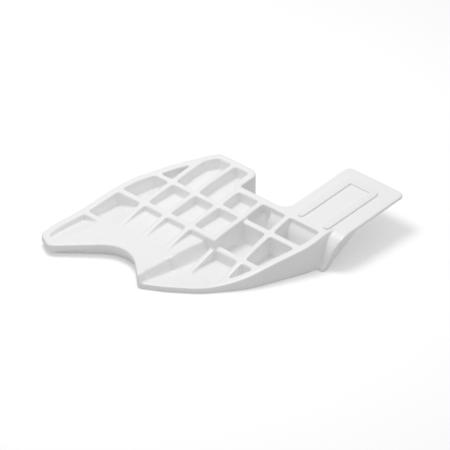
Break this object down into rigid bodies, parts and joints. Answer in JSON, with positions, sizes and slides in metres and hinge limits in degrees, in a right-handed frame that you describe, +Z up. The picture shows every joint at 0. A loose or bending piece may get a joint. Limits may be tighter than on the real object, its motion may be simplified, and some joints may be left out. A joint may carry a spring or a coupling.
{
  "type": "transfer board",
  "caption": "Notched, wedge-shaped plastic transfer board with a smooth sliding face, a ribbed and pocketed back, a flat end tongue, a wheel notch and a round bay.",
  "frame": {"origin": "on the sliding face, below the middle of the whole outline", "axes": "+X towards the tongue's free end, +Y towards the high side with the horn, +Z up out of the ribbed side, board lying on its sliding face"},
  "size_m": [0.5998, 0.55, 0.0922],
  "materials": {
    "moulded_plastic": "satin gloss"
  },
  "bodies": {
    "root": {"bay_rim_far": "moulded_plastic", "bay_rim_near": "moulded_plastic", "cross_rib_1": "moulded_plastic", "cross_rib_2": "moulded_plastic", "cross_rib_3": "moulded_plastic", "horn_corner_rim": "moulded_plastic", "horn_end_rim": "moulded_plastic", "long_rib_1": "moulded_plastic", "long_rib_2": "moulded_plastic", "long_rib_3": "moulded_plastic", "long_rib_4": "moulded_plastic", "long_rib_5": "moulded_plastic", "lower_floor": "moulded_plastic", "near_rim_front": "moulded_plastic", "near_rim_middle": "moulded_plastic", "near_rim_rear": "moulded_plastic", "notch_base_rim": "moulded_plastic", "notch_side_rim": "moulded_plastic", "ramp": "moulded_plastic", "side_rim_front": "moulded_plastic", "side_rim_middle": "moulded_plastic", "side_rim_rear": "moulded_plastic", "sliding_skin": "moulded_plastic", "step_wall": "moulded_plastic", "tip_rim": "moulded_plastic", "tongue_bead": "moulded_plastic", "tongue_plate": "moulded_plastic", "tongue_root_rim": "moulded_plastic", "upper_floor": "moulded_plastic", "wing_tip_rim": "moulded_plastic"}
  },
  "joints": []
}
